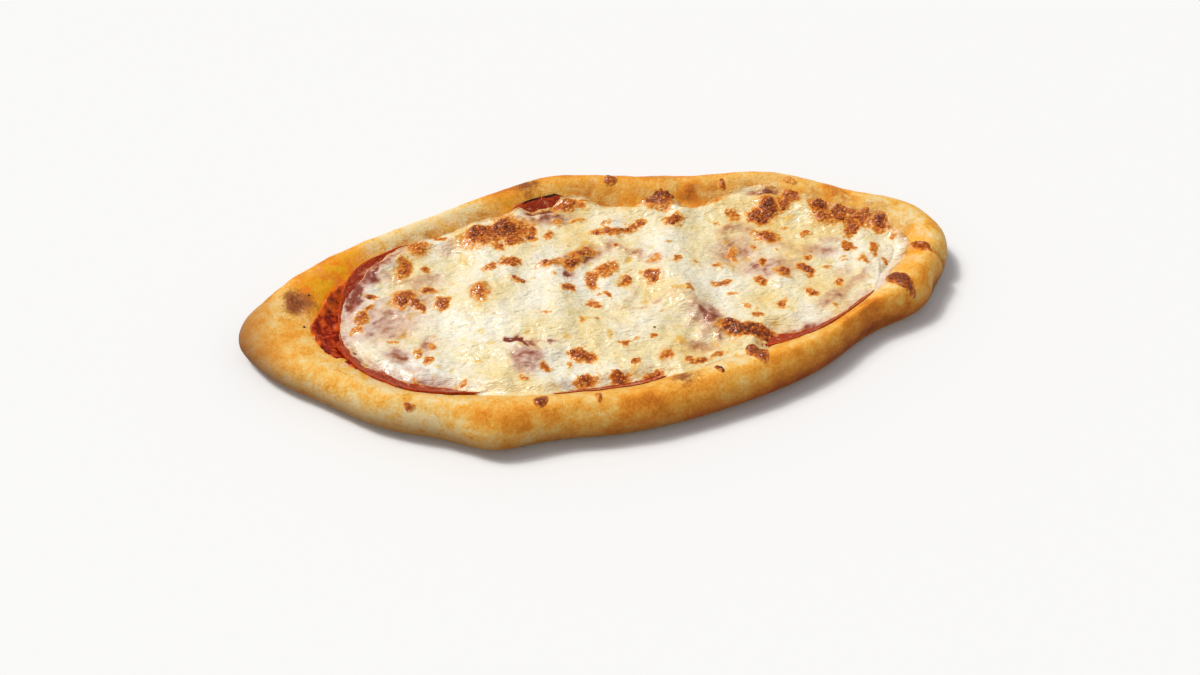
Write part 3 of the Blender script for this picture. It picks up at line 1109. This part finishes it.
growBubbles("blisterBubbles", cheeseMesh, cheeseMesh.materials[0])


drips = {
    "step": 0.4,                  # spacing of the net above, and below
    "underStep": 1.4,
    "rounds": 26,                 # of smoothing of the solid's outline
    "height": 1.15,
    # how far the thin margin reaches past the solid's outline, and how brown each is, 1 to 10
    "swell": (1.4, 1.7, 1.45, 1.2, 1.2, 1.05, 1.5, 1.3, 1.1, 1.25),
    "brown": (0.12, 0.1, 0.05, 0.0, -0.2, -0.25, -0.05, -0.15, -0.3, -0.05),
    "ragged": ((3.4, 0.55, 91), (1.5, 0.3, 92)),      # of the outline: span, size, seed
    "bead": 1.7,                  # bubbles in it: width, height
    "beadHeight": 0.6,
    "sink": 0.35,                 # how deep its edge sits in the crust
    "deeper": 0.1,                # and its underside, more than that
}


def dripMaterial():
    # caramelised cheese: glassy brown beads, orange where they thin out
    material, tree = newMaterial("caramelisedCheese")
    place = addNode(tree, "TexCoord").outputs["Object"]
    browning = addNode(tree, "Attribute", attribute_name="browning").outputs["Fac"]
    fine = addNode(tree, "TexNoise", {"Vector": place, "Scale": 1 / (1.5 * mm), "Detail": 3.0})
    uneven = addNode(tree, "Math", {0: fine, 1: 1.3, 2: -0.65}, operation="MULTIPLY_ADD")
    share = addNode(tree, "Math", {0: browning, 1: uneven}, operation="ADD", use_clamp=True)
    color = addNode(tree, "ValToRGB", {"Fac": share}, stops=(
        (0.05, "#F4B450"), (0.25, "#E08A22"), (0.45, "#B95C12"), (0.7, "#8C3C0C"), (1.0, "#5A220A")))
    bump = addNode(tree, "Bump", {"Height": fine, "Strength": 0.7, "Distance": 0.7 * mm})
    shader = addNode(tree, "BsdfPrincipled", {
        "Base Color": color, "Roughness": 0.16, "Normal": bump, "IOR": 1.45,
        "Subsurface Weight": 0.1, "Subsurface Radius": (1.0, 0.4, 0.15), "Subsurface Scale": 1.5 * mm})
    addNode(tree, "OutputMaterial", {"Surface": shader})
    return material


def makeDrips():
    material = dripMaterial()
    below = [doughTree, cheeseTree, *meatTrees]
    for number, (reach, brown) in enumerate(zip(drips["swell"], drips["brown"]), 1):
        node = f"cheese_drip_{number:02d}"
        loop = cadOutline(node, drips["step"], drips["rounds"])
        way = loop - loop.mean(axis=0)
        swell = reach + humps(flat3(loop, number), drips["ragged"]) / np.linalg.norm(way, axis=1)
        loop = loop.mean(axis=0) + way * swell[:, None]
        over, overFaces = netInside(loop, drips["step"])
        under, underFaces = netInside(loop, drips["underStep"])
        inside = np.maximum(edgeDistance(over, loop), 0)
        share = smoothStep(inside / inside.max(), 0, 0.75)
        beads = 1 - np.clip(cellField(flat3(over, number), drips["bead"], 93), 0, 1)
        uneven = noiseField(flat3(over, number), 4, 94)
        full = drips["height"] * (1 + 0.35 * uneven) + drips["beadHeight"] * (beads - 0.3)
        edge = 1 - smoothStep(inside, 0, 0.8)
        top = topOf(below, over) + np.sqrt(share) * full - drips["sink"] * edge
        bottom = topOf(below, under) - drips["sink"] - drips["deeper"]
        name = f"cheeseDrip{number:02d}"
        mesh = closedSheet(name, loop, (over, overFaces, top), (under, underFaces, bottom))
        browning = 0.2 + brown + 0.36 * smoothStep(share, 0.05, 0.8) + 0.2 * uneven + 0.2 * (0.5 - beads)
        paint(mesh, browning=np.concatenate([browning, np.zeros(len(under))]))
        addPiece(name, mesh, material, "browned_cheese", node)


makeDrips()


flecks = {
    "places": ((-127, 20), (-131, 3), (-101, -35), (-116, 18), (17, -29), (-112, -27)),
    "size": 0.5,                  # half of a fleck's width
    "flat": 0.6,
    "above": 0.1,                 # its middle over what it lies on
    "seed": 12,
}


def fleckMaterial():
    # coarse black pepper: dull, nearly black skin with a brown cast
    material, tree = newMaterial("groundPepper")
    place = addNode(tree, "TexCoord").outputs["Object"]
    skin = addNode(tree, "TexNoise", {"Vector": place, "Scale": 1 / (0.6 * mm), "Detail": 2.0})
    color = addNode(tree, "ValToRGB", {"Fac": skin}, stops=((0.4, "#2A1E12"), (0.6, "#5A4630")))
    shader = addNode(tree, "BsdfPrincipled", {"Base Color": color, "Roughness": 0.55, "IOR": 1.5})
    addNode(tree, "OutputMaterial", {"Surface": shader})
    return material


def makeFlecks(below):
    pick = np.random.default_rng(flecks["seed"])
    places = np.array(flecks["places"], float)
    bm = bmesh.new()
    for (x, y), z in zip(places.tolist(), topOf(below, places).tolist()):
        made = bmesh.ops.create_icosphere(bm, subdivisions=2, radius=flecks["size"] * mm)["verts"]
        for vert in made:
            vert.co = vert.co * pick.uniform(0.75, 1.2)
        stretch = Vector((pick.uniform(0.8, 1.4), pick.uniform(0.7, 1.1), flecks["flat"]))
        bmesh.ops.scale(bm, vec=stretch, verts=made)
        bmesh.ops.translate(bm, vec=Vector((x, y, z + flecks["above"])) * mm, verts=made)
    addPiece("pepperFlecks", meshOf("pepperFlecks", bm), fleckMaterial(), "browned_cheese")


makeFlecks([doughTree, sauceTree, *meatTrees, cheeseTree])

print("sizes written")
